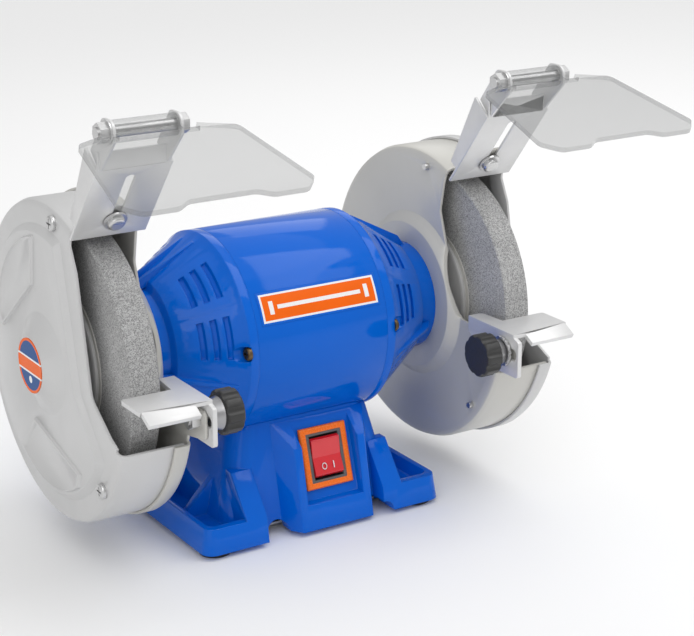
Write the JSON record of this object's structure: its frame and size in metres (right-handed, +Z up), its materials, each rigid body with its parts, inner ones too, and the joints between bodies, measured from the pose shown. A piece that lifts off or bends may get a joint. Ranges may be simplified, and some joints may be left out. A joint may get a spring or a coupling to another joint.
{
  "type": "bench grinder",
  "caption": "Bench grinder: motor on a cast base drives guarded abrasive wheels, with hinged clear eye shields, adjustable tool rests and a rocker switch.",
  "frame": {"origin": "centre of the four bench-bolt holes, on the plane of the underside of the rubber feet", "axes": "+X along the shaft from the left wheel to the right wheel seen by the operator, -Y towards the operator, +Z up"},
  "size_m": [0.3296, 0.2473, 0.251],
  "materials": {
    "blue_paint": "glossy enamel on cast aluminium",
    "silver_paint": "satin silver-grey on pressed steel",
    "zinc_sheet": "zinc-plated sheet",
    "zinc_hardware": "zinc-plated hardware",
    "dark_screw": "dark plated screws",
    "abrasive": "vitrified grey abrasive",
    "blotter_card": "card washers",
    "machined_steel": "machined steel",
    "laminations": "stacked laminations",
    "copper_wire": "varnished copper wire",
    "clear_plastic": "clear moulded sheet",
    "black_plastic": "moulded",
    "orange_plastic": "moulded",
    "red_plastic": "translucent moulded",
    "rubber": "moulded",
    "capacitor_can": "drawn can"
  },
  "bodies": {
    "housing": {"base": "blue_paint", "motor_barrel": "blue_paint", "end_bell_left": "blue_paint", "end_bell_right": "blue_paint", "guard_left_outer": "silver_paint", "guard_left_inner": "silver_paint", "guard_right_inner": "silver_paint", "guard_right_outer": "silver_paint", "base_cover": "zinc_sheet", "capacitor_clip": "zinc_sheet", "guard_screws_left": "zinc_hardware", "guard_screws_right": "zinc_hardware", "guard_mount_screws": "zinc_hardware", "deflector_screws": "zinc_hardware", "deflector_washers": "zinc_hardware", "deflector_nuts": "zinc_hardware", "rest_clamp_nuts": "zinc_hardware", "base_cover_screws": "zinc_hardware", "end_bell_screws": "dark_screw", "bearing_outer_rings": "machined_steel", "stator_core": "laminations", "stator_windings": "copper_wire", "cable_gland": "black_plastic", "switch_body": "black_plastic", "switch_bezel": "orange_plastic", "rubber_feet": "rubber", "capacitor": "capacitor_can"},
    "spindle": {"shaft": "machined_steel", "rotor_core": "laminations", "bearing_inner_rings": "machined_steel", "wheel_left": "abrasive", "wheel_right": "abrasive", "wheel_blotters": "blotter_card", "inner_flanges": "machined_steel", "outer_flanges": "machined_steel", "spindle_nut_left": "machined_steel", "spindle_nut_right": "machined_steel"},
    "rocker": {"switch_rocker": "red_plastic"},
    "left_deflector": {"deflector_left": "zinc_sheet", "hinge_bolt_left": "zinc_hardware", "hinge_nut_left": "zinc_hardware"},
    "left_shield": {"eye_shield_left": "clear_plastic"},
    "left_rest_washer": {"rest_washer_left": "zinc_hardware"},
    "left_rest": {"tool_rest_left": "zinc_sheet"},
    "left_knob": {"knob_head_left": "black_plastic", "knob_stud_left": "zinc_hardware"},
    "right_deflector": {"deflector_right": "zinc_sheet", "hinge_bolt_right": "zinc_hardware", "hinge_nut_right": "zinc_hardware"},
    "right_shield": {"eye_shield_right": "clear_plastic"},
    "right_rest_washer": {"rest_washer_right": "zinc_hardware"},
    "right_rest": {"tool_rest_right": "zinc_sheet"},
    "right_knob": {"knob_head_right": "black_plastic", "knob_stud_right": "zinc_hardware"}
  },
  "joints": [
    {"name": "spindle_spin", "type": "hinge", "parent": "housing", "child": "spindle", "pos_m": [0, 0, 0.1075], "axis": [1, 0, 0], "continuous": true},
    {"name": "left_deflector_slide", "type": "slide", "parent": "housing", "child": "left_deflector", "axis": [0, -0.6225, 0.7826], "range_m": [-0.004, 0]},
    {"name": "left_shield_tilt", "type": "hinge", "parent": "left_deflector", "child": "left_shield", "pos_m": [-0.1151, -0.08102, 0.24498], "axis": [1, 0, 0], "range_deg": [-60, 55]},
    {"name": "left_rest_tilt", "type": "hinge", "parent": "housing", "child": "left_rest_washer", "pos_m": [-0.0914, -0.092, 0.0985], "axis": [1, 0, 0], "range_deg": [-6, 6]},
    {"name": "left_rest_slide", "type": "slide", "parent": "left_rest_washer", "child": "left_rest", "axis": [0, -1, 0], "range_m": [0, 0.008]},
    {"name": "left_knob_turn", "type": "hinge", "parent": "housing", "child": "left_knob", "pos_m": [-0.08, -0.092, 0.0985], "axis": [1, 0, 0], "continuous": true},
    {"name": "right_deflector_slide", "type": "slide", "parent": "housing", "child": "right_deflector", "axis": [0, -0.6225, 0.7826], "range_m": [-0.004, 0]},
    {"name": "right_shield_tilt", "type": "hinge", "parent": "right_deflector", "child": "right_shield", "pos_m": [0.1151, -0.08102, 0.24498], "axis": [1, 0, 0], "range_deg": [-60, 55]},
    {"name": "right_rest_tilt", "type": "hinge", "parent": "housing", "child": "right_rest_washer", "pos_m": [0.0914, -0.092, 0.0985], "axis": [1, 0, 0], "range_deg": [-6, 6]},
    {"name": "right_rest_slide", "type": "slide", "parent": "right_rest_washer", "child": "right_rest", "axis": [0, -1, 0], "range_m": [0, 0.008]},
    {"name": "right_knob_turn", "type": "hinge", "parent": "housing", "child": "right_knob", "pos_m": [0.08, -0.092, 0.0985], "axis": [1, 0, 0], "continuous": true},
    {"name": "switch_rock", "type": "hinge", "parent": "housing", "child": "rocker", "pos_m": [0.0071, -0.0412, 0.03788], "axis": [1, 0, 0], "range_deg": [-16, 0]}
  ]
}
